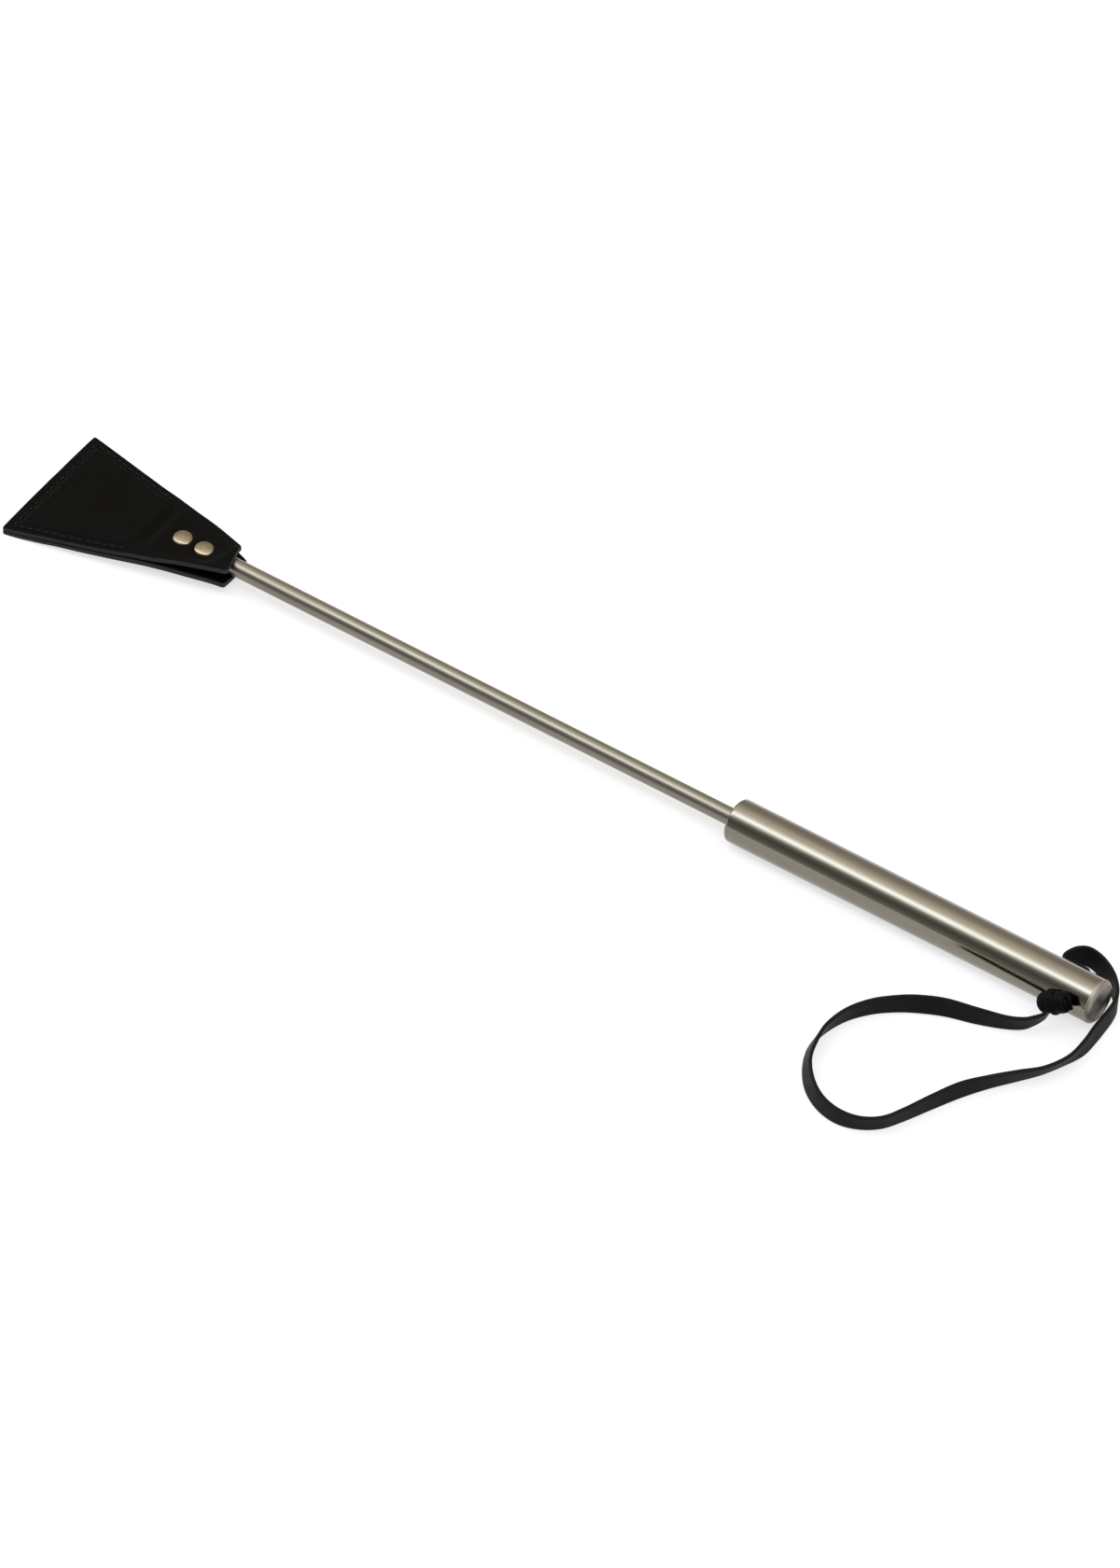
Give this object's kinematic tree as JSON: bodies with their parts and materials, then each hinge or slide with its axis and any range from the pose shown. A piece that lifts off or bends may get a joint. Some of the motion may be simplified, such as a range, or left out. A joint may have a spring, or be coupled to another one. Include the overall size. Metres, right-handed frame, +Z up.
{
  "type": "riding crop",
  "caption": "Steel riding crop: a long round handle, a thin shaft, a riveted and stitched leather flap, and a knotted leather wrist strap through the butt.",
  "frame": {"origin": "on the surface that the crop lies on, under the middle of its length and of its width", "axes": "+X along the crop towards the butt, +Z up, +Y to the left when looking along +X"},
  "size_m": [0.6153, 0.1632, 0.0222],
  "materials": {
    "brushed_steel": "satin, lengthwise brushed",
    "bush_aluminium": "turned",
    "pin_steel": "ground",
    "rivet_nickel": "nickel plated, satin",
    "flap_leather": "black grained leather, low sheen",
    "stiffener_board": "fibre board",
    "waxed_thread": "waxed black thread",
    "strap_leather": "black smooth strap leather, cut edges"
  },
  "bodies": {
    "crop_frame": {"handle_tube": "brushed_steel", "front_plug": "brushed_steel", "anchor_bush": "bush_aluminium", "anchor_pin": "pin_steel", "butt_plug": "brushed_steel", "shaft": "brushed_steel", "bottom_leather_root": "flap_leather", "top_leather_root": "flap_leather", "front_rivet_cap": "rivet_nickel", "front_rivet_base": "rivet_nickel", "rear_rivet_cap": "rivet_nickel", "rear_rivet_base": "rivet_nickel"},
    "flap": {"bottom_leather_blade": "flap_leather", "top_leather_blade": "flap_leather", "paddle_core": "stiffener_board", "edge_stitching": "waxed_thread"},
    "wrist_loop": {"wrist_strap": "strap_leather", "strap_knot": "strap_leather"}
  },
  "joints": [
    {"name": "flap_flex", "type": "hinge", "parent": "crop_frame", "child": "flap", "pos_m": [-0.239, 0, 0.0075], "axis": [0, 1, 0], "range_deg": [-25, 25], "stiffness_Nm_per_rad": 0.5},
    {"name": "wrist_loop_swing", "type": "hinge", "parent": "crop_frame", "child": "wrist_loop", "pos_m": [0.2885, 0, 0.0111], "axis": [0, 0.9781, -0.2079], "range_deg": [0, 120]}
  ]
}
